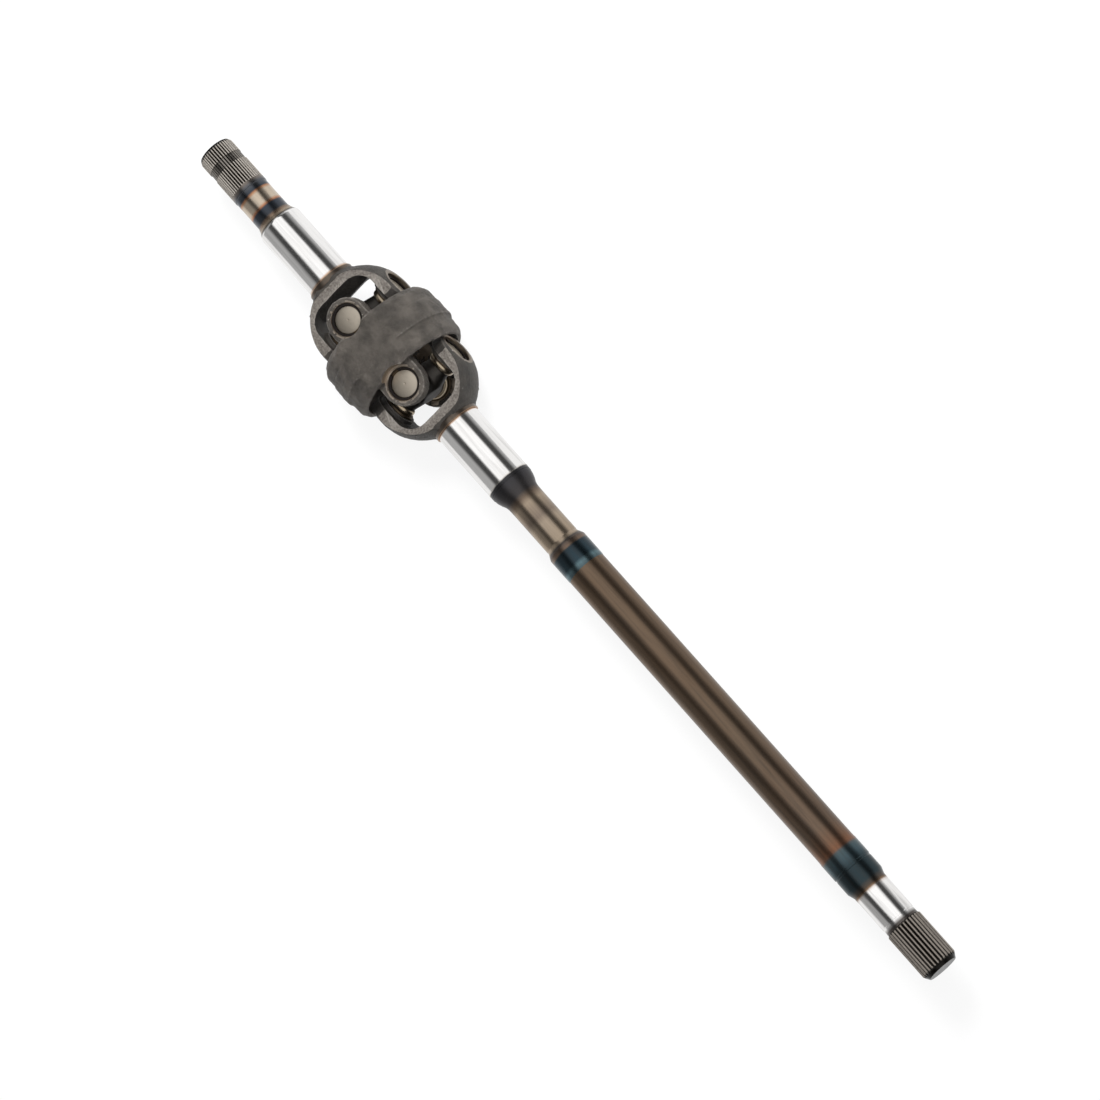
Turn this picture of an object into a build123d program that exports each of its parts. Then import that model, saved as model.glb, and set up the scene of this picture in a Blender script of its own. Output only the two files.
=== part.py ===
from build123d import *
from math import acos, asin, cos, pi, sin, tan
import os

# Steering axle shaft with a double universal joint, in millimetres.
# The origin is the centre of the double joint, which stands on the wheel's steering axis.
# +X runs along the shafts to the differential end, +Y along the yokes' ears, +Z along the
# centre body's ears. Both shafts lie in one line.

# Crosses and bearing cups
cross_pitch = 92.0              # between the centres of the two crosses
cups_across = 98.0              # over the outer faces of two opposite cups
cup_diameter = 35.0
cup_length = 15.5
cup_floor = 4.0
trunnion_diameter = 22.0
trunnion_play = 0.05            # radial, in the cup's ring of rollers
trunnion_end_play = 0.1
cross_hub_width = 33.0          # across the eight flats, where two arms meet
cross_hub_height = 16.5         # from the cross centre to where an arm steps down
cross_arm_width = 29.0          # from there to the shield
shield_diameter = 31.0
shield_height = 6.0
shield_gap = 0.3                # between the shield and the mouth of its cup
cup_sides = 24                  # flats that stand for a circle on the repeated cups
ring_sides = 16                 # and on the smaller rings

# Circlips in the ear bores
circlip_thickness = 1.8
circlip_width = 3.4
circlip_opening = 9.0
groove_depth = 1.0
groove_play = 0.1

# Yokes, measured from their cross centre
yoke_crown = 4.3                # how far the ears' ball shape stands over their outer faces
yoke_ball_steps = 4             # straight bands that stand for the ball's curve
yoke_width = 54.0
yoke_ear_reach = 23.5           # from the bore axis to the tip of the ear
yoke_tip_steps = 12             # straight edges round the ear's tip
yoke_cup_cover = 5.5            # from the cup's face out to the ear's outer face
yoke_cup_depth = 13.0           # from the cup's face in to the ear's inner face
yoke_boss_wall = 3.0            # around the cup's bore
yoke_boss_root = 6.0            # how far the inner boss runs into its ear
yoke_flat_length = 45.0         # to where the flats fall away towards the collar
yoke_flat_drop = 2.2
window_inset = 5.0              # from the ears' inner faces out to the window's sides
window_depth = 37.5
window_corner = 22.0
window_bevel = 2.5
fairing_radius = 30.5
bore_bevel = 1.0

# Centre body
ring_length = 64.0
ring_bore = 120.0
ring_outer_side_wall = 9.8
ring_inner_side_wall = 8.4
ring_belt_wall = 10.9
belt_start = -12.0
belt_length = 22.0
ring_edge_length = 6.5
ring_edge_drop = 4.2
ring_flat_height = 63.0
body_ear_wall = 5.9             # around the cup's bore
body_cup_cover = 4.0            # from the cup's face out to the ear's outer face
body_cup_depth = 10.5           # from the cup's face in to the ear's inner face
spot_face_wall = 2.5            # around the cup's bore

# Both shafts next to their yokes
collar_start = 53.0             # from the cross centre
collar_length = 5.0
collar_diameter = 54.4
journal_diameter = 51.2
centre_hole_diameter = 9.5
centre_hole_depth = 14.0

# Stub shaft, towards the wheel hub
stub_journal_length = 82.5
stub_shoulder_length = 7.0
stub_shoulder_diameter = 43.4
stub_root_length = 5.0
stub_neck_length = 37.0
stub_neck_diameter = 40.2
stub_land_length = 6.0
stub_spline_length = 55.0
stub_spline_diameter = 41.4
stub_spline_teeth = 40
stub_tooth_height = 1.6
stub_bevel_length = 3.6
stub_bevel_depth = 1.8
ring_groove_start = 18.0        # from the end face
ring_groove_width = 10.5
ring_groove_depth = 0.8

# Long shaft, towards the differential
long_journal_length = 82.0
seal_groove_width = 1.5
seal_groove_depth = 0.7
seal_land_depth = 0.3
long_land_length = 7.0
long_land_diameter = 48.8
long_shoulder_length = 12.5
long_neck_length = 65.0
long_neck_diameter = 39.3
bar_cone_length = 7.5
bar_collar_length = 29.5
bar_collar_diameter = 45.8
bar_length = 436.0
bar_diameter = 44.9
end_cone_length = 6.0
inner_journal_length = 45.0
inner_journal_diameter = 40.0
relief_length = 8.0
relief_diameter = 38.6
inner_spline_length = 60.0
inner_spline_diameter = 41.8
inner_spline_teeth = 30
inner_tooth_height = 1.7
inner_bevel_length = 6.5
inner_bevel_depth = 3.9
tooth_top_share = 0.34          # of the pitch, solid at the tooth's tip
tooth_root_share = 0.30         # of the pitch, open at the root

cross_x = cross_pitch / 2
cup_face = cups_across / 2
cup_mouth = cup_face - cup_length
cup_radius = cup_diameter / 2
trunnion_radius = trunnion_diameter / 2
shield_top = cup_mouth - shield_gap
shield_bottom = shield_top - shield_height
groove_radius = cup_radius + groove_depth
yoke_ear_face = cup_face + yoke_cup_cover
yoke_ear_inner = cup_face - yoke_cup_depth
yoke_radius = yoke_ear_face + yoke_crown
window_height = 2 * (yoke_ear_inner + window_inset)
body_ear_face = cup_face + body_cup_cover
body_ear_inner = cup_face - body_cup_depth
body_ear_width = cup_diameter + 2 * body_ear_wall
left_ear, right_ear = Plane.ZX, Plane.XZ
top_ear, bottom_ear = Plane.XY, Plane.YX
collar_end = cross_x + collar_start + collar_length


def cut_cup_seat(ear, centre, ear_face):
    """Bores one ear for its cup, with the circlip's groove and a bevelled mouth."""
    with BuildSketch(ear) as bore:
        with Locations(centre):
            RegularPolygon(cup_radius, cup_sides)
    extrude(bore.sketch, amount=ear_face, mode=Mode.SUBTRACT)
    with BuildSketch(ear.offset(cup_face)) as groove:
        with Locations(centre):
            RegularPolygon(groove_radius, ring_sides)
    extrude(groove.sketch, amount=circlip_thickness + groove_play, mode=Mode.SUBTRACT)
    middle = ear.offset(ear_face).from_local_coords((*centre, 0))
    chamfer([edge for edge in BuildPart._get_context().part.edges()
             if (edge.center() - middle).length < cup_radius
             and abs((edge.center() - middle).dot(ear.z_dir)) < 1e-6], bore_bevel)


def turned(start, steps):
    """Corners of a turned outline: each step is (length, diameter), and a length of 0 is a shoulder."""
    x = start
    corners = [(start, 0)]
    for length, diameter in steps:
        x += length
        corners.append((x, diameter / 2))
    return corners + [(x, 0)]


def spline(end, length, outer_diameter, tooth_height, teeth, bevel_length, bevel_depth):
    """Adds a splined shaft end with straight-sided teeth, every tooth bevelled at its tip."""
    tip = outer_diameter / 2
    root = tip - tooth_height
    half_pitch = pi / teeth
    top = half_pitch * tooth_top_share
    foot = half_pitch * (1 - tooth_root_share)
    tooth = ((root, -foot), (tip, -top), (tip, top), (root, foot))
    with BuildSketch(Plane.YZ.offset(end - length)) as outline:
        with BuildLine() as profile:
            Polyline([(radius * cos(angle + 2 * half_pitch * i), radius * sin(angle + 2 * half_pitch * i))
                      for i in range(teeth) for radius, angle in tooth], close=True)
        add(make_face(profile.edges(), mode=Mode.PRIVATE))
    extrude(outline.sketch, amount=length)
    over = tip + tooth_height
    beyond = end + bevel_length
    with BuildSketch(Plane.XZ) as corner:
        with BuildLine() as edge:
            Polyline((end - bevel_length, tip), (end, tip - bevel_depth), (beyond, tip - bevel_depth),
                     (beyond, over), (end - bevel_length, over), close=True)
        add(make_face(edge.edges(), mode=Mode.PRIVATE))
    wedge = extrude(corner.sketch, amount=over * tan(half_pitch), both=True, mode=Mode.PRIVATE)
    add([wedge.moved(Location((0, 0, 0), (360 * i / teeth, 0, 0))) for i in range(teeth)],
        mode=Mode.SUBTRACT)


def drill_centre(end):
    """Drills the lathe centre into the shaft end at this X."""
    with BuildSketch(Plane.YZ.offset(end)) as hole:
        Circle(centre_hole_diameter / 2)
    extrude(hole.sketch, amount=-centre_hole_depth, mode=Mode.SUBTRACT)


# Yoke, with its cross centre at the origin and its shaft towards +X
tip_angle = acos(-yoke_ear_reach / yoke_radius)
fairing_angle = asin(fairing_radius / yoke_radius)
ball_step = (fairing_angle - tip_angle) / yoke_ball_steps
ball = [(yoke_radius * cos(tip_angle + i * ball_step), yoke_radius * sin(tip_angle + i * ball_step))
        for i in range(yoke_ball_steps + 1)]
half_width = yoke_width / 2
tip_centre = half_width - yoke_ear_reach
tip = [(tip_centre - half_width * sin(pi * i / yoke_tip_steps),
        -half_width * cos(pi * i / yoke_tip_steps)) for i in range(yoke_tip_steps + 1)]
with BuildPart() as yoke:
    with BuildSketch():
        with BuildLine():
            Polyline(*ball, (collar_start, collar_diameter / 2), (collar_start, 0),
                     (-yoke_ear_reach, 0), close=True)
        make_face()
    revolve(axis=Axis.X)
    with BuildSketch(Plane.XZ):
        with BuildLine():
            Polyline(*tip, (yoke_flat_length, half_width),
                     (collar_start, half_width - yoke_flat_drop),
                     (collar_start, yoke_flat_drop - half_width),
                     (yoke_flat_length, -half_width), close=True)
        make_face()
    extrude(amount=yoke_radius, both=True, mode=Mode.INTERSECT)
    with BuildSketch() as window:
        with Locations((window_depth, 0)):
            Rectangle(2 * yoke_radius, window_height, align=(Align.MAX, Align.CENTER))
        fillet(window.vertices().group_by(Axis.X)[-1], window_corner)
    extrude(amount=half_width, both=True, mode=Mode.SUBTRACT)
    with BuildSketch(Plane.XY.offset(half_width - window_bevel)):
        add(window.sketch)
    extrude(amount=2 * window_bevel, taper=-45, mode=Mode.SUBTRACT)
    mirror(about=Plane.XY, mode=Mode.INTERSECT)
    for ear in (left_ear, right_ear):
        with BuildSketch(ear.offset(yoke_ear_inner)):
            RegularPolygon(cup_radius + yoke_boss_wall, cup_sides)
        extrude(amount=window_height / 2 - yoke_ear_inner + yoke_boss_root)
        with BuildSketch(ear.offset(yoke_ear_face)):
            Circle(yoke_radius)
        extrude(amount=yoke_radius, mode=Mode.SUBTRACT)
        cut_cup_seat(ear, (0, 0), yoke_ear_face)

# Cross, with its centre at the origin
with BuildPart() as cross:
    for trunnion in (left_ear, right_ear, top_ear, bottom_ear):
        with BuildSketch(trunnion):
            RegularPolygon(cross_hub_width / 2, 8, major_radius=False, rotation=22.5)
        extrude(amount=cross_hub_height)
        with BuildSketch(trunnion):
            RegularPolygon(cross_arm_width / 2, 8, major_radius=False, rotation=22.5)
        extrude(amount=shield_bottom)
        with BuildSketch(trunnion):
            RegularPolygon(trunnion_radius, cup_sides)
        extrude(amount=cup_face - cup_floor - trunnion_end_play)

# Bearing cup with its rollers, circlip and dust shield, about +Z from a cross centre
with BuildPart() as cup:
    with BuildSketch(Plane.XY.offset(cup_mouth)):
        RegularPolygon(cup_radius, cup_sides)
    extrude(amount=cup_length)
    with BuildSketch(Plane.XY.offset(cup_mouth)):
        RegularPolygon(trunnion_radius + trunnion_play, cup_sides, major_radius=False)
    extrude(amount=cup_length - cup_floor, mode=Mode.SUBTRACT)

circlip_radius = groove_radius - groove_play
with BuildPart() as circlip:
    with BuildSketch(Plane.XY.offset(cup_face)):
        RegularPolygon(circlip_radius, ring_sides)
        RegularPolygon(circlip_radius - circlip_width, ring_sides, mode=Mode.SUBTRACT)
        Rectangle(circlip_radius, circlip_opening, align=(Align.MIN, Align.CENTER), mode=Mode.SUBTRACT)
    extrude(amount=circlip_thickness)

with BuildPart() as shield:
    with BuildSketch(Plane.XY.offset(shield_bottom)):
        RegularPolygon(shield_diameter / 2, ring_sides)
        RegularPolygon(trunnion_radius, ring_sides, major_radius=False, mode=Mode.SUBTRACT)
    extrude(amount=shield_height)

# Centre body: a forged ring, flattened top and bottom, with two pairs of ears inside
ring_half = ring_length / 2
side_outer = ring_bore / 2 + ring_outer_side_wall
side_inner = ring_bore / 2 + ring_inner_side_wall
belt = ring_bore / 2 + ring_belt_wall
belt_end = belt_start + belt_length
with BuildPart() as centre_body:
    with BuildSketch():
        with BuildLine():
            Polyline((-ring_half, ring_bore / 2), (-ring_half, side_outer - ring_edge_drop),
                     (ring_edge_length - ring_half, side_outer), (belt_start, side_outer),
                     (belt_start, belt), (belt_end, belt), (belt_end, side_inner),
                     (ring_half - ring_edge_length, side_inner), (ring_half, side_inner - ring_edge_drop),
                     (ring_half, ring_bore / 2), close=True)
        make_face()
    revolve(axis=Axis.X)
    with BuildSketch(Plane.YZ):
        Rectangle(2 * belt, 2 * ring_flat_height)
    extrude(amount=ring_half, both=True, mode=Mode.INTERSECT)
    for ear, along_x in ((top_ear, (1, 0)), (bottom_ear, (0, 1))):
        turn = 90 * along_x[1]
        with BuildSketch(ear.offset(body_ear_inner)):
            SlotCenterToCenter(cross_pitch, body_ear_width, rotation=turn)
        extrude(amount=body_ear_face - body_ear_inner)
        with BuildSketch(ear.offset(body_ear_inner)):
            Rectangle(ring_length, body_ear_width, rotation=turn)
        extrude(amount=ring_bore / 2 - body_ear_inner)
        for end in (-cross_x, cross_x):
            centre = (end * along_x[0], end * along_x[1])
            with BuildSketch(ear.offset(body_ear_face)):
                with Locations(centre):
                    Circle(cup_radius + spot_face_wall)
            extrude(amount=ring_flat_height, mode=Mode.SUBTRACT)
            cut_cup_seat(ear, centre, body_ear_face)

# Long shaft, turned and splined
groove = journal_diameter - 2 * seal_groove_depth
land = journal_diameter - 2 * seal_land_depth
long_outline = turned(cross_x + collar_start, (
    (0, collar_diameter), (collar_length, collar_diameter),
    (0, journal_diameter), (long_journal_length, journal_diameter),
    (0, groove), (seal_groove_width, groove), (0, land), (long_land_length, long_land_diameter),
    (long_shoulder_length, long_neck_diameter), (long_neck_length, long_neck_diameter),
    (bar_cone_length, bar_collar_diameter), (bar_collar_length, bar_collar_diameter),
    (0, bar_diameter), (bar_length, bar_diameter),
    (end_cone_length, inner_journal_diameter), (inner_journal_length, inner_journal_diameter),
    (0, relief_diameter), (relief_length, relief_diameter),
))
long_end = long_outline[-1][0] + inner_spline_length
with BuildPart() as long_shaft:
    add(yoke.part.moved(Location((cross_x, 0, 0))))
    with BuildSketch():
        with BuildLine():
            Polyline(long_outline, close=True)
        make_face()
    revolve(axis=Axis.X)
    spline(long_end, inner_spline_length, inner_spline_diameter, inner_tooth_height,
           inner_spline_teeth, inner_bevel_length, inner_bevel_depth)
    drill_centre(long_end)

# Stub shaft, turned and splined towards +X and then mirrored to its own side
stub_outline = turned(cross_x + collar_start, (
    (0, collar_diameter), (collar_length, collar_diameter),
    (0, journal_diameter), (stub_journal_length, journal_diameter),
    (stub_shoulder_length, stub_shoulder_diameter), (stub_root_length, stub_neck_diameter),
    (stub_neck_length, stub_neck_diameter), (0, stub_spline_diameter),
    (stub_land_length, stub_spline_diameter),
))
stub_end = stub_outline[-1][0] + stub_spline_length
groove_reach = stub_end - ring_groove_start
with BuildPart() as stub_blank:
    add(yoke.part.moved(Location((cross_x, 0, 0))))
    with BuildSketch():
        with BuildLine():
            Polyline(stub_outline, close=True)
        make_face()
    revolve(axis=Axis.X)
    spline(stub_end, stub_spline_length, stub_spline_diameter, stub_tooth_height,
           stub_spline_teeth, stub_bevel_length, stub_bevel_depth)
    with BuildSketch(Plane.YZ.offset(groove_reach - ring_groove_width)):
        Circle(stub_spline_diameter / 2 + ring_groove_depth)
        RegularPolygon(stub_spline_diameter / 2 - ring_groove_depth, stub_spline_teeth,
                       major_radius=False, rotation=180 / stub_spline_teeth, mode=Mode.SUBTRACT)
    extrude(amount=ring_groove_width, mode=Mode.SUBTRACT)
    drill_centre(stub_end)
with BuildPart() as stub_shaft:
    add(stub_blank.part.mirror(Plane.YZ))

with BuildPart() as outer_cross:
    add(cross.part.moved(Location((-cross_x, 0, 0))))
with BuildPart() as inner_cross:
    add(cross.part.moved(Location((cross_x, 0, 0))))

os.makedirs("parts", exist_ok=True)
stub_shaft.part.label = "stub_shaft"
export_step(stub_shaft.part, "parts/stub_shaft.step")
long_shaft.part.label = "long_shaft"
export_step(long_shaft.part, "parts/long_shaft.step")
centre_body.part.label = "centre_body"
export_step(centre_body.part, "parts/centre_body.step")
outer_cross.part.label = "outer_cross"
export_step(outer_cross.part, "parts/outer_cross.step")
inner_cross.part.label = "inner_cross"
export_step(inner_cross.part, "parts/inner_cross.step")

# The eight bearings: each seat has its X towards the middle of the joint and its Z along the trunnion
seats = {
    "stub_left": Plane((-cross_x, 0, 0), x_dir=(1, 0, 0), z_dir=(0, 1, 0)),
    "stub_right": Plane((-cross_x, 0, 0), x_dir=(1, 0, 0), z_dir=(0, -1, 0)),
    "body_outer_top": Plane((-cross_x, 0, 0), x_dir=(1, 0, 0), z_dir=(0, 0, 1)),
    "body_outer_bottom": Plane((-cross_x, 0, 0), x_dir=(1, 0, 0), z_dir=(0, 0, -1)),
    "body_inner_top": Plane((cross_x, 0, 0), x_dir=(-1, 0, 0), z_dir=(0, 0, 1)),
    "body_inner_bottom": Plane((cross_x, 0, 0), x_dir=(-1, 0, 0), z_dir=(0, 0, -1)),
    "long_left": Plane((cross_x, 0, 0), x_dir=(-1, 0, 0), z_dir=(0, 1, 0)),
    "long_right": Plane((cross_x, 0, 0), x_dir=(-1, 0, 0), z_dir=(0, -1, 0)),
}
for seat, place in seats.items():
    for kind, form in (("bearing_cup", cup), ("circlip", circlip), ("shield", shield)):
        with BuildPart() as piece:
            add(form.part.moved(place.location))
        piece.part.label = f"{seat}_{kind}"
        export_step(piece.part, f"parts/{piece.part.label}.step")
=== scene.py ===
# Double universal joint axle shaft, dressed for the studio. Metres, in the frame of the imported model.
import math
import bmesh
import bpy
from mathutils import Matrix, Vector, noise


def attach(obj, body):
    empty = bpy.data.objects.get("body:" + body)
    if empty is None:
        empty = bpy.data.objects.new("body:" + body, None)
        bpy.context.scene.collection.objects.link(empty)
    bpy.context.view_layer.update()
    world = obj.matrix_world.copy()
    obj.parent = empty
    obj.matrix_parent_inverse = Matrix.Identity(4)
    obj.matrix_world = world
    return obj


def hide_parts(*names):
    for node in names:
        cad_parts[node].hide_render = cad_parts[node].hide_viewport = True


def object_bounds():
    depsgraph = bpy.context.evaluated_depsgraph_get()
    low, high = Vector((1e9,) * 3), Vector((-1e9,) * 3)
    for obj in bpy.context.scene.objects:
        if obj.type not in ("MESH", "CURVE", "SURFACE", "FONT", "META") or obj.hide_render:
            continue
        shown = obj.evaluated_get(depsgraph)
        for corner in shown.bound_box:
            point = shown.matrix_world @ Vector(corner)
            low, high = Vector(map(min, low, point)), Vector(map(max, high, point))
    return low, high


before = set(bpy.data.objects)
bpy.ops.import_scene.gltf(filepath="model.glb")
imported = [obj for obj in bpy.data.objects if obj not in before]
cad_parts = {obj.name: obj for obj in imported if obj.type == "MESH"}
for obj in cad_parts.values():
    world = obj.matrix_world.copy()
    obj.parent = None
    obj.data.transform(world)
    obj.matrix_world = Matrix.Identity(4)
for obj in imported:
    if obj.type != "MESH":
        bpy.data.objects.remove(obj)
cadBox = [list(corner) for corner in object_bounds()]
mm = 0.001
crossX = 46 * mm  # from the joint's centre to each cross

class Port:
    # a socket that takes part in plain arithmetic
    def __init__(self, finish, socket):
        self.finish, self.socket = finish, socket

    def join(self, operation, other, flip=False):
        pair = (other, self) if flip else (self, other)
        return self.finish.node("ShaderNodeMath", {"operation": operation}, *pair)

    def __add__(self, other): return self.join("ADD", other)
    def __radd__(self, other): return self.join("ADD", other)
    def __sub__(self, other): return self.join("SUBTRACT", other)
    def __rsub__(self, other): return self.join("SUBTRACT", other, True)
    def __mul__(self, other): return self.join("MULTIPLY", other)
    def __rmul__(self, other): return self.join("MULTIPLY", other)
    def __truediv__(self, other): return self.join("DIVIDE", other)
    def __pow__(self, other): return self.join("POWER", other)


class Finish:
    # one material, or another node tree, while its nodes are put together
    def __init__(self, name, metallic=1.0, roughness=0.4, tree=None):
        self.tree = tree
        if tree:
            return
        self.material = bpy.data.materials.new(name)
        self.material.use_nodes = True
        self.tree = self.material.node_tree
        self.shader = self.tree.nodes["Principled BSDF"]
        self.shader.inputs["Metallic"].default_value = metallic
        self.shader.inputs["Roughness"].default_value = roughness
        self.place = self.node("ShaderNodeTexCoord", output="Object")

    def node(self, kind, settings=None, *values, output=0, **named):
        node = self.tree.nodes.new(kind)
        for key, value in (settings or {}).items():
            if key == "stops":
                ramp = node.color_ramp
                while len(ramp.elements) < len(value):
                    ramp.elements.new(0.5)
                for element, (at, colour) in zip(ramp.elements, value):
                    element.position = at
                    element.color = (*colour, 1) if isinstance(colour, tuple) else (colour, colour, colour, 1)
            else:
                setattr(node, key, value)
        for key, value in [*enumerate(values), *named.items()]:
            socket = node.inputs[key] if isinstance(key, int) else node.inputs[key.replace("_", " ")]
            if isinstance(value, Port):
                self.tree.links.new(value.socket, socket)
            else:
                socket.default_value = value
        return Port(self, node.outputs[output])

    def mix(self, factor, one, two, blend="MIX"):
        one, two = [(*c, 1) if isinstance(c, tuple) and len(c) == 3 else c for c in (one, two)]
        node = self.tree.nodes.new("ShaderNodeMix")
        node.data_type, node.blend_type = "RGBA", blend
        for index, value in ((0, factor), (6, one), (7, two)):
            if isinstance(value, Port):
                self.tree.links.new(value.socket, node.inputs[index])
            else:
                node.inputs[index].default_value = value
        return Port(self, node.outputs[2])

    def grain(self, scale, detail=4.0, roughness=0.55, stretch=(1, 1, 1)):
        spot = self.node("ShaderNodeMapping", {}, self.place, Scale=stretch)
        return self.node("ShaderNodeTexNoise", {}, Vector=spot, Scale=scale, Detail=detail, Roughness=roughness)

    def cells(self, scale, feature="DISTANCE_TO_EDGE", stretch=(1, 1, 1), twist=0.0):
        spot = self.node("ShaderNodeMapping", {}, self.place, Scale=stretch)
        if twist:
            push = self.node("ShaderNodeTexNoise", {}, output=1, Vector=spot, Scale=scale * 0.8, Detail=3.0)
            spot = self.node("ShaderNodeVectorMath", {"operation": "ADD"}, spot,
                             self.node("ShaderNodeVectorMath", {"operation": "MULTIPLY"}, push, (twist,) * 3))
        return self.node("ShaderNodeTexVoronoi", {"feature": feature}, Vector=spot, Scale=scale)

    def band(self, value, start, end):
        return self.node("ShaderNodeMapRange", {}, value, start, end)

    def ramp(self, value, stops, interpolation="LINEAR"):
        port = self.node("ShaderNodeValToRGB", {"stops": stops}, value)
        port.socket.node.color_ramp.interpolation = interpolation
        return port

    def bump(self, height, strength, distance, below=None):
        named = {"Height": height, "Strength": strength, "Distance": distance}
        if below:
            named["Normal"] = below
        return self.node("ShaderNodeBump", {}, **named)

    def done(self, **sockets):
        for key, value in sockets.items():
            socket = self.shader.inputs[key.replace("_", " ")]
            if isinstance(value, Port):
                self.tree.links.new(value.socket, socket)
            else:
                socket.default_value = value
        return self.material


def axes(finish):
    split = finish.tree.nodes.new("ShaderNodeSeparateXYZ")
    finish.tree.links.new(finish.place.socket, split.inputs[0])
    return [Port(finish, out) for out in split.outputs]


def makeForged(name, dark, light, craze=1.0):
    # scaled, hammered forging: crazed skin, soft dents and bright worn ridges
    finish = Finish(name, metallic=0.45)
    worn = finish.node("ShaderNodeNewGeometry", output="Pointiness")
    ridge = finish.band(worn, 0.52, 0.60)
    patch = finish.grain(60, 5)
    skin = finish.cells(260, twist=0.6)
    crack = 1 - finish.band(skin, 0.0, 0.10)
    speck = finish.grain(900, 3)
    colour = finish.mix(finish.band(patch, 0.35, 0.7), (*dark, 1), (*light, 1))
    colour = finish.mix(crack * 0.35 * craze, colour, (0.34, 0.31, 0.28, 1))
    colour = finish.mix(finish.band(speck, 0.55, 0.8) * 0.3, colour, (0.03, 0.028, 0.027, 1))
    colour = finish.mix(ridge * 0.75, colour, (0.50, 0.46, 0.42, 1))
    dents = finish.grain(140, 4)
    normal = finish.bump(dents, 0.8, 0.0014)
    normal = finish.bump(skin, 0.9 * craze, 0.0006, normal)
    normal = finish.bump(speck, 0.25, 0.0002, normal)
    rough = 0.48 + 0.2 * patch - 0.14 * ridge
    return finish.done(Base_Color=colour, Roughness=rough, Normal=normal)


def makeTrimmed(name):
    # where the flash was sheared off: bright drag marks across the strip
    finish = Finish(name, metallic=0.6)
    worn = finish.node("ShaderNodeNewGeometry", output="Pointiness")
    drag = finish.grain(420, 4, stretch=(1, 1, 0.1))
    craze = finish.cells(520, twist=0.8)
    colour = finish.mix(finish.band(drag, 0.35, 0.7), (0.13, 0.115, 0.10, 1), (0.33, 0.30, 0.27, 1))
    colour = finish.mix((1 - finish.band(craze, 0, 0.12)) * 0.5, colour, (0.06, 0.052, 0.046, 1))
    colour = finish.mix(finish.band(worn, 0.52, 0.6), colour, (0.62, 0.58, 0.53, 1))
    normal = finish.bump(drag, 0.35, 0.0005)
    normal = finish.bump(craze, 0.3, 0.0003, normal)
    return finish.done(Base_Color=colour, Roughness=0.42 + 0.15 * drag, Normal=normal)


def makeMachined(name, colour, centre, axis="Z", roughness=0.3, groove=0.00004, rimShadow=None):
    # turned or bored steel: tool marks run round the centre, and an optional dark ring beyond a given radius is painted
    # shade
    finish = Finish(name, roughness=roughness)
    x, y, z = axes(finish)
    across = {"X": (y - centre[1], z - centre[2]), "Y": (x - centre[0], z - centre[2]),
              "Z": (x - centre[0], y - centre[1])}[axis]
    radius = (across[0] * across[0] + across[1] * across[1]) ** 0.5
    lathe = finish.node("ShaderNodeTexNoise", {"noise_dimensions": "1D"}, W=radius, Scale=2600.0, Detail=2.0)
    smudge = finish.grain(160, 4)
    shade = finish.mix(finish.band(lathe, 0.3, 0.7) * 0.35, (*colour, 1), tuple(c * 0.72 for c in colour) + (1,))
    shade = finish.mix(finish.band(smudge, 0.5, 0.8) * 0.3, shade, tuple(c * 0.6 for c in colour) + (1,))
    # painted shade: the colour turns dark across the given radii and stays dark beyond, standing in for the shadow in
    # the recess between cup face and bore
    if rimShadow:
        shade = finish.mix(finish.band(radius, rimShadow[0], rimShadow[1]), shade, (*rimShadow[2], 1))
    normal = finish.bump(lathe, 0.5, groove)
    return finish.done(Base_Color=shade, Roughness=roughness + 0.12 * smudge, Normal=normal)


def makeShaftFinish(name, start, end, bands, streaks=0.5, teeth=None):
    # bands: (x in mm, colour, roughness) along the shaft, as heat and grinding left them
    finish = Finish(name)
    x, y, z = axes(finish)
    wander = finish.grain(90, 3)
    where = (x + (wander - 0.5) * 0.0012 - start * mm) / ((end - start) * mm)
    at = [(b[0] - start) / (end - start) for b in bands]
    colour = finish.ramp(where, [(a, b[1]) for a, b in zip(at, bands)])
    rough = finish.ramp(where, [(a, b[2]) for a, b in zip(at, bands)])
    fine = finish.grain(1500, 3, stretch=(1, 0.12, 0.12))
    length = finish.grain(240, 4, stretch=(0.06, 1, 1))
    cloud = finish.grain(38, 4, stretch=(0.5, 1, 1))
    colour = finish.mix(finish.band(length, 0.45, 0.75) * streaks, colour, (0.05, 0.045, 0.04, 1))
    colour = finish.mix(finish.band(cloud, 0.5, 0.75) * streaks * 0.6, colour, (0.42, 0.36, 0.30, 1), "OVERLAY")
    # painted light on the splines: by radius, roots are painted near black as shade and tips painted bright as a
    # highlight
    if teeth:
        height = finish.band((y * y + z * z) ** 0.5, teeth[0] * mm, teeth[1] * mm)
        colour = finish.mix(height, (0.012, 0.011, 0.010), teeth[2])
    normal = finish.bump(fine, 0.12, 0.00008)
    return finish.done(Base_Color=colour, Roughness=rough + 0.12 * (length - 0.5), Normal=normal)


def makePlainSteel(name, colour, roughness, speck=0.3, bump=0.00005, metallic=1.0):
    finish = Finish(name, metallic=metallic)
    small = finish.grain(700, 3)
    large = finish.grain(110, 4)
    shade = finish.mix(finish.band(large, 0.4, 0.75) * speck, (*colour, 1), tuple(c * 0.5 for c in colour) + (1,))
    normal = finish.bump(small, 0.3, bump)
    return finish.done(Base_Color=shade, Roughness=roughness + 0.15 * large, Normal=normal)


def keep(name, bm, *materials):
    mesh = bpy.data.meshes.new(name)
    bm.to_mesh(mesh)
    bm.free()
    piece = bpy.data.objects.new(name, mesh)
    bpy.context.scene.collection.objects.link(piece)
    for material in materials:
        mesh.materials.append(material)
    return piece


def settle(piece):
    # bakes the live modifiers into the mesh
    graph = bpy.context.evaluated_depsgraph_get()
    live = piece.evaluated_get(graph)
    mesh = bpy.data.meshes.new_from_object(live, preserve_all_data_layers=True, depsgraph=graph)
    piece.modifiers.clear()
    piece.data = mesh
    return piece


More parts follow.
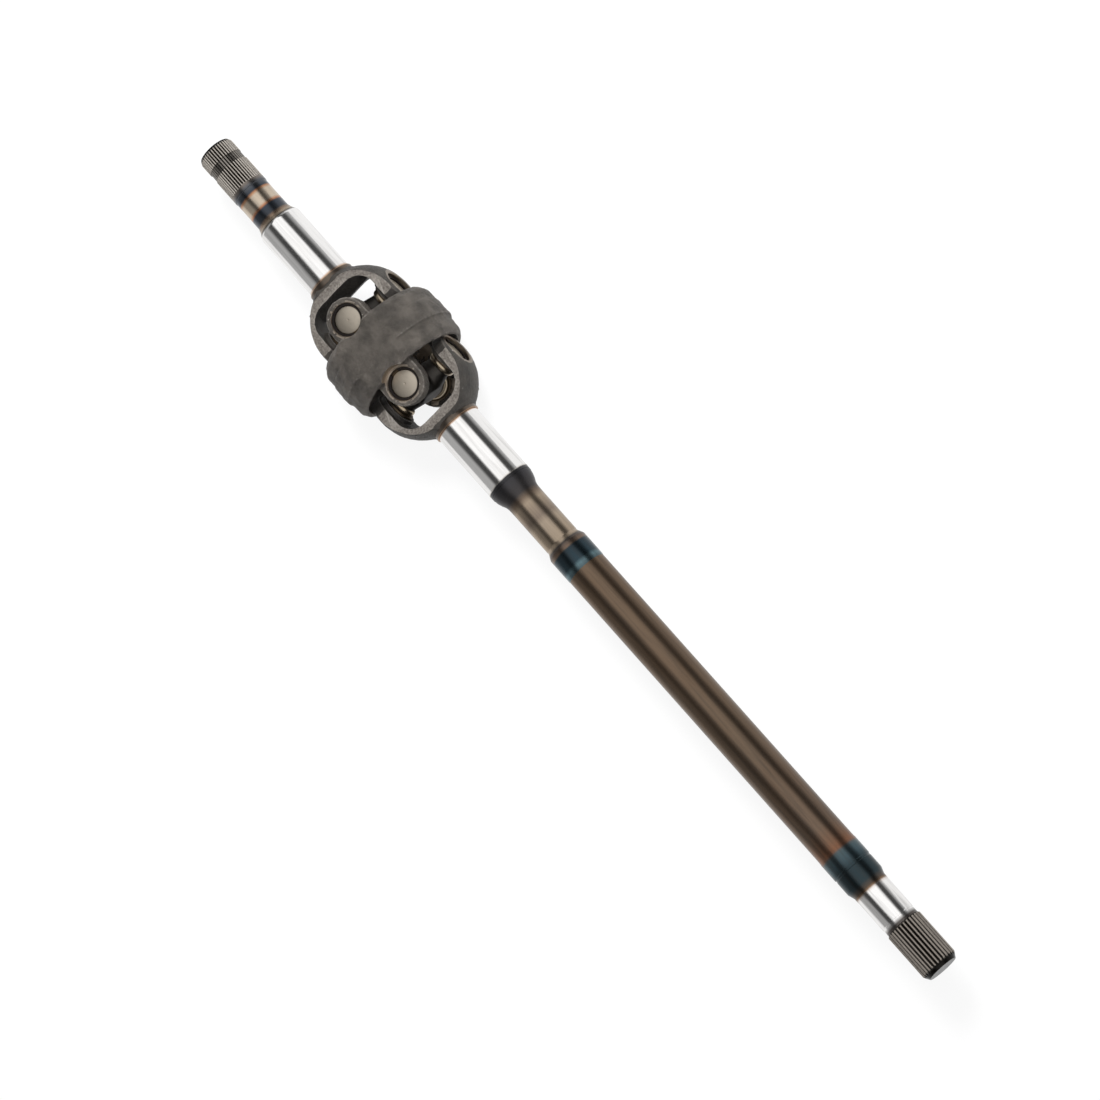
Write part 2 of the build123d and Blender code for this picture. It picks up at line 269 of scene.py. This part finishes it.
def combine(piece, tool, operation="DIFFERENCE"):
    cut = piece.modifiers.new("combine", "BOOLEAN")
    cut.object, cut.operation, cut.solver, cut.material_mode = tool, operation, "EXACT", "TRANSFER"
    settle(piece)
    bpy.data.objects.remove(tool)
    return piece


def smoothFaces(piece, angle=35):
    for face in piece.data.polygons:
        face.use_smooth = True
    piece.data.set_sharp_from_angle(angle=math.radians(angle))
    return piece


def spun(name, outline, axis="X", segments=96, material=None, place=None, close=True):
    # turns an outline of (along, radius) points in mm about the axis
    bm = bmesh.new()
    turn = {"X": lambda a, r: Vector((a, r, 0)), "Y": lambda a, r: Vector((0, a, r)),
            "Z": lambda a, r: Vector((r, 0, a))}[axis]
    verts = [bm.verts.new(turn(a, r) * mm) for a, r in outline]
    edges = [bm.edges.new(pair) for pair in zip(verts, verts[1:])]
    if close == "ring":
        edges.append(bm.edges.new((verts[-1], verts[0])))
    bmesh.ops.spin(bm, geom=verts + edges, cent=(0, 0, 0), axis=turn(1, 0), angle=math.tau,
                   steps=segments, use_merge=True, use_duplicate=False)
    bmesh.ops.remove_doubles(bm, verts=bm.verts, dist=1e-7)
    bmesh.ops.recalc_face_normals(bm, faces=bm.faces)
    if place:
        bm.transform(place)
    return keep(name, bm, *([material] if material else []))


def slab(name, corners, axis, low, high, material=None):
    # a straight prism over corners (in mm), along an axis
    bm = bmesh.new()
    turn = {"X": lambda a, b, c: (c, a, b), "Y": lambda a, b, c: (a, c, b), "Z": lambda a, b, c: (a, b, c)}[axis]
    face = bm.faces.new([bm.verts.new(Vector(turn(a, b, low)) * mm) for a, b in corners])
    raised = bmesh.ops.extrude_face_region(bm, geom=[face])
    lift = Vector(turn(0, 0, high - low)) * mm
    bmesh.ops.translate(bm, verts=[v for v in raised["geom"] if isinstance(v, bmesh.types.BMVert)], vec=lift)
    bmesh.ops.recalc_face_normals(bm, faces=bm.faces)
    return keep(name, bm, *([material] if material else []))


def arcPoints(centre, radius, start, end, steps):
    return [(centre[0] + radius * math.cos(math.radians(start + (end - start) * i / steps)),
             centre[1] + radius * math.sin(math.radians(start + (end - start) * i / steps)))
            for i in range(steps + 1)]


def forge(piece, voxel, rounds, dents):
    # softens every edge as a die does, then dents the skin
    grid = piece.modifiers.new("grid", "REMESH")
    grid.mode, grid.voxel_size = "VOXEL", voxel * mm
    settle(piece)
    bm = bmesh.new()
    bm.from_mesh(piece.data)
    for i in range(rounds):
        bmesh.ops.smooth_vert(bm, verts=bm.verts, factor=0.5, use_axis_x=True, use_axis_y=True, use_axis_z=True)
    bm.normal_update()
    for vert in bm.verts:
        here = vert.co * 1000
        lump = noise.fractal(here / 16, 1.0, 2.0, 2) * dents[0]
        lump += noise.fractal(here / 4.5, 0.9, 2.0, 3) * dents[1]
        vert.co += vert.normal * lump * mm
    bm.to_mesh(piece.data)
    bm.free()
    return piece


toX = Matrix.Translation((crossX, 0, 0))
toStub = Matrix.Rotation(math.pi, 4, "Z") @ toX

print("materials")
forgedYoke = makeForged("forgedYoke", (0.022, 0.020, 0.018), (0.060, 0.053, 0.046), 0.5)
forgedRing = makeForged("forgedRing", (0.040, 0.035, 0.030), (0.125, 0.110, 0.095), 1.0)
trimmed = makeTrimmed("trimmedFlat")
boredYoke = makePlainSteel("boredYoke", (0.20, 0.165, 0.13), 0.32)
boredBody = makePlainSteel("boredBody", (0.40, 0.34, 0.28), 0.30)
clipSteel = makePlainSteel("clipSteel", (0.035, 0.03, 0.028), 0.4)
shieldMetal = makePlainSteel("shieldMetal", (0.40, 0.33, 0.24), 0.22)
crossSteel = makePlainSteel("crossSteel", (0.06, 0.055, 0.05), 0.45)

yokeSizes = {"ball": 58.8, "halfWidth": 27.0, "reach": 23.5, "earFace": 54.5, "earInner": 36.0, "boss": 20.5,
             "windowDepth": 38.3, "draft": 7.0, "windowSide": 41.0, "windowCorner": 22.0,
             "collar": 53.0, "bore": 17.5}


def makeYoke(name, place):
    s = yokeSizes
    tipAngle = math.degrees(math.acos(-s["reach"] / s["ball"]))
    outline = [(-s["reach"], 0)] + arcPoints((0, 0), s["ball"], tipAngle, 31.2, 20)
    outline += [(s["collar"] + 1, 27.2), (s["collar"] + 1, 0)]
    yoke = spun(name, outline, segments=120, material=forgedYoke)
    tip = s["halfWidth"] - s["reach"]
    edge = arcPoints((tip, 0), s["halfWidth"], 90, 270, 24)
    edge += [(45, -s["halfWidth"]), (54.5, -24.8), (54.5, 24.8), (45, s["halfWidth"])]
    combine(yoke, slab("edge", edge, "Y", -70, 70), "INTERSECT")
    side, depth, corner = s["windowSide"], s["windowDepth"], s["windowCorner"]
    window = [(-70, side)] + arcPoints((depth - corner, side - corner), corner, 90, 0, 10)
    window += arcPoints((depth - corner, corner - side), corner, 0, -90, 10) + [(-70, -side)]
    combine(yoke, slab("window", window, "Z", -40, 40))
    rim = s["halfWidth"] - 2.5
    wedge = [(depth + 3, rim), (depth, rim), (depth - s["draft"], 0), (depth, -rim), (depth + 3, -rim)]
    combine(yoke, slab("wedge", wedge, "Y", -s["earInner"], s["earInner"]), "UNION")
    for way in (1, -1):
        boss = [(s["earInner"], 0), (s["earInner"], s["boss"]), (47, s["boss"] + 1), (47, 0)]
        combine(yoke, spun("boss", [(along * way, radius) for along, radius in boss], "Y", 48), "UNION")
    forge(yoke, 0.75, 2, (0.3, 0.15))
    for way in (1, -1):
        flat = [(-60, -70), (70, -70), (70, 70), (-60, 70)]
        combine(yoke, slab("flat", flat, "Z", *sorted((26.3 * way, 40 * way)), trimmed))
        face, bore = s["earFace"], s["bore"]
        outline = [(30, 0), (30, bore), (face - 1.1, bore), (face, bore + 1.1), (face, 31), (70, 31), (70, 0)]
        outline = [(along * way, radius) for along, radius in outline]
        combine(yoke, spun("bore", outline, "Y", 64, boredYoke))
    yoke.data.transform(place)
    smoothFaces(yoke, 38)
    return yoke


print("yokes")
longYoke = makeYoke("longYoke", toX)
stubYoke = makeYoke("stubYoke", toStub)

ringSizes = {"half": 32.0, "bore": 60.0, "outerSide": 69.8, "innerSide": 68.4, "belt": 70.9, "flat": 63.0,
             "earRound": 23.4, "earFace": 53.0, "earInner": 37.5, "cup": 17.5, "spot": 20.0}


def makeCentreBody():
    s = ringSizes
    outline = [(-s["half"], s["bore"]), (-s["half"], s["outerSide"] - 4.2), (-25.5, s["outerSide"]),
               (-13, s["outerSide"]), (-11.5, s["belt"]), (9.5, s["belt"]), (11, s["innerSide"]),
               (25.5, s["innerSide"]), (s["half"], s["innerSide"] - 4.2), (s["half"], s["bore"])]
    body = spun("centreBody", outline, segments=160, material=forgedRing, close="ring")
    square = [(-80, -s["flat"]), (80, -s["flat"]), (80, s["flat"]), (-80, s["flat"])]
    combine(body, slab("square", square, "X", -40, 40), "INTERSECT")
    for way in (1, -1):
        ear = arcPoints((46, 0), s["earRound"], 90, -90, 20) + arcPoints((-46, 0), s["earRound"], -90, -270, 20)
        combine(body, slab("ear", ear, "Z", *sorted((s["earInner"] * way, s["earFace"] * way))), "UNION")
        bridge = [(-31.5, -s["earRound"]), (31.5, -s["earRound"]), (31.5, s["earRound"]), (-31.5, s["earRound"])]
        combine(body, slab("bridge", bridge, "Z", *sorted((s["earInner"] * way, 61 * way))), "UNION")
    forge(body, 0.95, 2, (0.55, 0.45))
    for way in (1, -1):
        inner = [(-72, -24), (72, -24), (72, 24), (-72, 24)]
        combine(body, slab("inner", inner, "Z", *sorted((30 * way, 37.6 * way)), boredBody))
        for end in (crossX, -crossX):
            cutter = [(30 * way, 0), (30 * way, s["cup"]), (52 * way, s["cup"]), (53 * way, s["cup"] + 0.8),
                      (53 * way, s["spot"]), (80 * way, s["spot"]), (80 * way, 0)]
            place = Matrix.Translation((end, 0, 0))
            combine(body, spun("cutter", cutter, "Z", 64, boredBody, place))
    return smoothFaces(body, 38)


print("centre body")
centreBody = makeCentreBody()

ground = (0.80, 0.79, 0.78)
# stops along a shaft: (x in mm, colour, roughness)
longBands = [(90, (0.10, 0.085, 0.07), 0.35), (103, (0.13, 0.105, 0.085), 0.34), (104.6, (0.50, 0.32, 0.20), 0.25),
             (106, ground, 0.16), (184, ground, 0.16), (185.5, (0.75, 0.72, 0.68), 0.2), (186.2, (0.05, 0.05, 0.055), 0.4),
             (208, (0.06, 0.055, 0.055), 0.42), (214, (0.16, 0.12, 0.09), 0.38), (221, (0.34, 0.27, 0.20), 0.30),
             (240, (0.24, 0.19, 0.15), 0.32), (248, (0.36, 0.29, 0.22), 0.30), (275, (0.34, 0.27, 0.20), 0.3),
             (277.5, (0.08, 0.07, 0.065), 0.35), (284, (0.16, 0.11, 0.08), 0.3), (286, (0.028, 0.042, 0.052), 0.30),
             (302, (0.03, 0.05, 0.062), 0.28), (306, (0.10, 0.16, 0.18), 0.26), (311, (0.07, 0.10, 0.11), 0.28),
             (315, (0.26, 0.14, 0.08), 0.32), (323, (0.20, 0.13, 0.085), 0.33), (335, (0.15, 0.105, 0.072), 0.34)]
barBands = [(335, (0.15, 0.105, 0.072), 0.34), (424, (0.15, 0.105, 0.072), 0.36), (564, (0.14, 0.10, 0.07), 0.35),
            (676, (0.15, 0.105, 0.075), 0.35), (694, (0.17, 0.10, 0.065), 0.34), (705, (0.20, 0.095, 0.055), 0.33),
            (708, (0.07, 0.10, 0.11), 0.3), (717, (0.055, 0.085, 0.10), 0.3), (727, (0.03, 0.045, 0.052), 0.32),
            (747, (0.03, 0.044, 0.050), 0.3), (755, (0.10, 0.07, 0.05), 0.3), (756.5, (0.40, 0.24, 0.14), 0.26),
            (758, ground, 0.17), (798, ground, 0.17), (800.5, (0.10, 0.09, 0.085), 0.35),
            (810, (0.12, 0.105, 0.095), 0.34), (857, (0.11, 0.10, 0.092), 0.34), (863, (0.16, 0.15, 0.14), 0.3),
            (864, (0.42, 0.42, 0.43), 0.3)]
stubBands = [(-292, (0.30, 0.28, 0.26), 0.32), (-287.5, (0.20, 0.175, 0.155), 0.34),
             (-240.5, (0.19, 0.165, 0.145), 0.34), (-236.5, (0.10, 0.105, 0.115), 0.3), (-229.5, (0.045, 0.055, 0.07), 0.28),
             (-227.5, (0.42, 0.20, 0.10), 0.26), (-224.5, (0.50, 0.42, 0.33), 0.24), (-212.5, (0.52, 0.44, 0.35), 0.24),
             (-209.5, (0.42, 0.19, 0.10), 0.26), (-207.5, (0.045, 0.055, 0.072), 0.3), (-198.5, (0.05, 0.055, 0.065), 0.3),
             (-195.5, (0.20, 0.14, 0.10), 0.28), (-191.5, (0.30, 0.24, 0.18), 0.26), (-189.1, (0.07, 0.065, 0.06), 0.3),
             (-187.5, ground, 0.2), (-187, ground, 0.16), (-107, ground, 0.16), (-104.6, (0.50, 0.32, 0.20), 0.25),
             (-103, (0.13, 0.105, 0.085), 0.34), (-92, (0.12, 0.095, 0.075), 0.38)]
longFinish = makeShaftFinish("longFinish", 90, 330, longBands, 0.25)
barFinish = makeShaftFinish("barFinish", 330, 864, barBands, 0.45)
stubFinish = makeShaftFinish("stubFinish", -296.5, -92, stubBands, 0.2)
# on the teeth the roots are painted black as shade and the tips painted bright as a highlight: (root radius, tip
# radius, tip colour)
stubSpline = makeShaftFinish("stubSpline", -296.5, -92, stubBands, 0.2, (19.5, 20.6, (0.62, 0.57, 0.51)))
longSpline = makeShaftFinish("longSpline", 330, 864, barBands, 0.3, (19.6, 20.8, (0.36, 0.32, 0.28)))


def makeTeeth(name, s, material, place=None):
    # one ring of rounded teeth, drawn out along X and bevelled where it meets the end
    tip = s["tip"]
    shape = [0.0, 0.04, 0.35, 0.85, 1.0, 0.85, 0.35, 0.04]  # share of the depth, round one tooth
    bm = bmesh.new()
    bmesh.ops.create_circle(bm, segments=s["teeth"] * len(shape), radius=tip * mm, cap_ends=True)
    bm.transform(Matrix.Rotation(math.pi / 2, 4, "Y"))
    bmesh.ops.translate(bm, verts=bm.verts, vec=(s["start"] * mm, 0, 0))
    stations = s["stations"]  # (x, largest radius) along the ring
    bm.faces.ensure_lookup_table()
    face = bm.faces[0]
    step = math.tau / (s["teeth"] * len(shape))

    def trim(verts, x, limit):
        for vert in verts:
            angle = math.atan2(vert.co.z, vert.co.y)
            share = shape[round(angle / step) % len(shape)]
            radius = min(tip - s["height"] * share, limit)
            vert.co = Vector((x, radius * math.cos(angle), radius * math.sin(angle))) * mm

    trim(list(bm.verts), *stations[0])
    for x, limit in stations[1:]:
        grown = bmesh.ops.extrude_face_region(bm, geom=[face])
        face = [f for f in grown["geom"] if isinstance(f, bmesh.types.BMFace)][0]
        trim(list(face.verts), x, limit)
    bmesh.ops.recalc_face_normals(bm, faces=bm.faces)
    if place:
        bm.transform(place)
    piece = keep(name, bm, material)
    return smoothFaces(piece, 50)


print("shafts")
stubTurned = spun("stubTurned", [
    (-97.5, 0), (-97.5, 26.4), (-99.5, 27.2), (-103.6, 27.2), (-104, 26.8), (-104, 25.6), (-186.0, 25.6),
    (-187.0, 25.4),
    (-193.0, 22.0), (-193.5, 21.7), (-196.5, 20.9), (-198.5, 20.15), (-235.3, 20.1), (-235.8, 20.7), (-241.0, 20.7),
    (-242.5, 20.2), (-242.5, 0)], segments=128, material=stubFinish)
smoothFaces(stubTurned, 25)
stubTeeth = makeTeeth("stubTeeth", {
    "tip": 20.7, "height": 1.6, "teeth": 40, "start": -242,
    "stations": [(241.2, 20.7), (268, 20.7), (268.2, 19.9), (278.4, 19.9), (278.6, 20.7), (292.9, 20.7),
                 (296.1, 19.1), (296.5, 18.9)],
}, stubSpline, Matrix.Rotation(math.pi, 4, "Z"))
longTurned = spun("longTurned", [
    (97.5, 0), (97.5, 26.4), (99.5, 27.2), (103.6, 27.2), (104, 26.8), (104, 25.6), (185.6, 25.6), (186, 25.3),
    (186.1, 24.9),
    (187.3, 24.9), (187.5, 25.3), (189.4, 25.3), (189.6, 24.9), (190.9, 24.9), (191.1, 25.3), (194.3, 24.5),
    (196, 24.3), (201, 22.6), (205, 20.6), (209, 19.8), (214, 19.65), (270.5, 19.65), (271.5, 19.3), (272.8, 19.5),
    (279, 22.5), (280, 22.9), (303, 22.9), (309, 22.8), (311, 22.45), (700, 22.45), (703, 22.6), (704, 22.85),
    (725.0, 22.85), (725.5, 22.5), (726, 22.1), (728, 22.1), (728.6, 22.5), (744.6, 22.5), (745.4, 22.2),
    (750.6, 20.4), (752, 20.0), (795.5, 20.0), (796, 19.7), (796.2, 19.3), (803, 19.3), (806, 19.2), (806, 0)],
    segments=128, material=longFinish)
longTurned.data.materials.append(barFinish)
for face in longTurned.data.polygons:
    face.material_index = 1 if face.center.x > 0.330 else 0
smoothFaces(longTurned, 25)
longTeeth = makeTeeth("longTeeth", {
    "tip": 20.9, "height": 1.7, "teeth": 30, "start": 804,
    "stations": [(803.6, 19.3), (805.2, 20.9), (857.5, 20.9), (860.4, 19.2), (863.7, 17.2), (864, 17.0)],
}, longSpline)

print("bearings")
seats = {  # body that carries the cup, body that carries the shield, cross, direction of the trunnion
    "stub_left": ("stub_half", "outer_spider", -1, "+Y"), "stub_right": ("stub_half", "outer_spider", -1, "-Y"),
    "body_outer_top": ("middle", "outer_spider", -1, "+Z"), "body_outer_bottom": ("middle", "outer_spider", -1, "-Z"),
    "body_inner_top": ("middle", "inner_spider", 1, "+Z"), "body_inner_bottom": ("middle", "inner_spider", 1, "-Z"),
    "long_left": ("long_half", "inner_spider", 1, "+Y"), "long_right": ("long_half", "inner_spider", 1, "-Y"),
}
turns = {"+Z": Matrix.Identity(4), "-Z": Matrix.Rotation(math.pi, 4, "X"),
         "+Y": Matrix.Rotation(-math.pi / 2, 4, "X"), "-Y": Matrix.Rotation(math.pi / 2, 4, "X")}
# outlines are (along the trunnion, radius) in mm
cupSizes = {"segments": 64, "steel": (0.50, 0.445, 0.37), "roughness": 0.42, "shade": (0.10, 0.075, 0.05),
            "outline": [(33.5, 11.1), (33.5, 17.0), (34, 17.45), (48.2, 17.45), (48.8, 16.9), (48.8, 14.6),
                        (49.0, 14.2), (49.0, 1.3), (48.5, 0.6), (48.3, 0)]}
clipSizes = {"segments": 64, "gap": 9.0,
             "outline": [(49.02, 14.7), (49.02, 18.3), (50.8, 18.3), (50.8, 15.0), (50.5, 14.7)]}
shieldSizes = {"segments": 64,
               "outline": [(27.2, 11.0), (27.2, 13.2), (27.6, 14.4), (28.6, 15.2), (30.2, 15.5), (32.0, 15.5),
                           (32.9, 15.1), (33.2, 14.3), (33.2, 11.0)]}
for seat, (holder, spider, side, way) in seats.items():
    place = Matrix.Translation((side * crossX, 0, 0)) @ turns[way]
    centre = (side * crossX, 0, 0)
    # the cup face is painted dark from 13.9 to 14.3 mm and beyond: painted shade for the recess round the cup disc
    cupMetal = makeMachined(seat + "CupFace", cupSizes["steel"], centre, way[1], cupSizes["roughness"],
                            rimShadow=(13.9 * mm, 14.3 * mm, cupSizes["shade"]))
    cup = spun(seat + "Cup", cupSizes["outline"], "Z", cupSizes["segments"], cupMetal, place)
    smoothFaces(cup, 30)
    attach(cup, holder)
    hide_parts(seat + "_bearing_cup")

    clip = spun(seat + "Clip", clipSizes["outline"], "Z", clipSizes["segments"], clipSteel, place, close="ring")
    half = clipSizes["gap"] / 2
    gap = [(10, -half), (22, -half), (22, half), (10, half)]
    opening = slab("opening", gap, "Z", 40, 60)
    opening.data.transform(place @ Matrix.Rotation(math.pi if side > 0 else 0, 4, "Z"))
    combine(clip, opening)
    smoothFaces(clip, 30)
    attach(clip, holder)
    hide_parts(seat + "_circlip")

    shield = spun(seat + "Shield", shieldSizes["outline"], "Z", shieldSizes["segments"], shieldMetal, place,
                  close="ring")
    smoothFaces(shield, 40)
    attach(shield, spider)
    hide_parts(seat + "_shield")

print("crosses")


crossSizes = {"hub": [(-16.5, 0), (-16.5, 12), (-12, 16.5), (12, 16.5), (16.5, 12), (16.5, 0)],
              "arm": [(0, 0), (0, 16.5), (13, 16.3), (24, 13.2), (27.3, 13.0), (27.3, 0)],
              "pin": [(20, 0), (20, 11.0), (44.2, 11.0), (44.9, 10.3), (44.9, 0)]}


def makeCross(name, side):
    s = crossSizes
    hub = spun(name, s["hub"], "X", 32, crossSteel)
    for way in turns.values():
        arm = spun("arm", s["arm"], "Z", 40, None, way)
        combine(hub, arm, "UNION")
    forge(hub, 1.0, 3, (0.2, 0.1))
    for way in turns.values():
        pin = spun("pin", s["pin"], "Z", 48, boredBody, way)
        combine(hub, pin, "UNION")
    hub.data.transform(Matrix.Translation((side * crossX, 0, 0)))
    return smoothFaces(hub, 38)


outerCross = makeCross("outerCross", -1)
innerCross = makeCross("innerCross", 1)

jobs = [
    ((longYoke, longTurned, longTeeth), "long_half", "long_shaft", "machined_shaft"),
    ((stubYoke, stubTurned, stubTeeth), "stub_half", "stub_shaft", "machined_shaft"),
    ((centreBody,), "middle", "centre_body", "forged_body"),
    ((outerCross,), "outer_spider", "outer_cross", "cross_steel"),
    ((innerCross,), "inner_spider", "inner_cross", "cross_steel"),
]
for pieces, body, node, slot in jobs:
    for piece in pieces:
        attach(piece, body)
        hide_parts(node)

studio = {"floor": 6.0, "tilt": 13.5, "roll": 16.0, "aim": 269.6, "aside": -15.5, "distance": 5.53,
          "lens": 175.25, "alongRight": 0.66454, "acrossRight": 0.74726}


def makeFloor():
    bm = bmesh.new()
    bmesh.ops.create_grid(bm, x_segments=2, y_segments=2, size=studio["floor"] / 2)
    bmesh.ops.translate(bm, verts=bm.verts, vec=(0.27, 0, cadBox[0][2] - 0.001))
    paper = Finish("paper", metallic=0.0, roughness=0.9)
    paper.shader.inputs["Base Color"].default_value = (0.9, 0.9, 0.9, 1)
    paths = paper.tree.nodes.new("ShaderNodeLightPath")
    seen = Port(paper, paths.outputs["Is Camera Ray"]).join("MAXIMUM", Port(paper, paths.outputs["Is Glossy Ray"]))
    light = paper.node("ShaderNodeEmission", {}, Color=(1, 1, 1, 1), Strength=1.0)
    both = paper.node("ShaderNodeMixShader", {}, seen * 0.86, Port(paper, paper.shader.outputs[0]), light)
    paper.tree.links.new(both.socket, paper.tree.nodes["Material Output"].inputs["Surface"])
    floor = keep("floor", bm, paper.material)


def makeCamera():
    s = studio
    tilt, roll = math.radians(s["tilt"]), math.radians(s["roll"])
    back = Vector((math.sin(tilt), math.cos(tilt) * math.sin(roll), math.cos(tilt) * math.cos(roll)))
    along = (Vector((1, 0, 0)) - back * back.x).normalized()
    across = back.cross(along)
    right = along * s["alongRight"] + across * s["acrossRight"]
    up = across * s["alongRight"] - along * s["acrossRight"]
    spot = Vector((s["aim"] * mm, 0, 0)) + across * s["aside"] * mm
    camera = bpy.data.objects.new("camera", bpy.data.cameras.new("camera"))
    camera.data.lens, camera.data.sensor_width = s["lens"], 36
    camera.data.clip_end = 50
    turn = Matrix((right, up, back)).transposed().to_4x4()
    camera.matrix_world = Matrix.Translation(spot + back * s["distance"]) @ turn
    bpy.context.scene.collection.objects.link(camera)
    bpy.context.scene.camera = camera
    return back, across


def makeLights(back, across):
    # an even studio: bright round the lens, a dark gap either side, grey walls beyond
    world = bpy.data.worlds.new("studio")
    bpy.context.scene.world = world
    world.use_nodes = True
    tree = world.node_tree
    room = Finish("room", tree=tree)
    way = room.node("ShaderNodeTexCoord", output="Generated")
    towards = room.node("ShaderNodeVectorMath", {"operation": "DOT_PRODUCT"}, way, tuple(back), output="Value")
    sideways = room.node("ShaderNodeVectorMath", {"operation": "DOT_PRODUCT"}, way, tuple(across), output="Value")
    angle = room.node("ShaderNodeMath", {"operation": "ARCTAN2"}, sideways, towards)
    wall = room.ramp((angle + math.pi) / math.tau, [
        (0.0, 0.45), (0.30, 0.45), (0.335, 0.06), (0.395, 0.05), (0.415, 1.25), (0.585, 1.25), (0.605, 0.05),
        (0.665, 0.06), (0.70, 0.45), (1.0, 0.45)])
    tree.links.new(wall.socket, tree.nodes["Background"].inputs["Color"])
    tree.nodes["Background"].inputs["Strength"].default_value = 1.0
    for name, place, size, power in (("key", (-0.6, 1.0, 2.0), 0.8, 60), ("fill", (-1.4, 1.5, 1.8), 1.2, 14)):
        lamp = bpy.data.objects.new(name, bpy.data.lights.new(name, "AREA"))
        lamp.data.size, lamp.data.energy = size, power
        lamp.location = place
        lamp.visible_glossy = False
        lamp.rotation_euler = (Vector((0.1, 0, 0)) - Vector(place)).to_track_quat("-Z", "Y").to_euler()
        bpy.context.scene.collection.objects.link(lamp)


print("studio")
makeFloor()
makeLights(*makeCamera())
bpy.context.scene.view_settings.view_transform = "Standard"
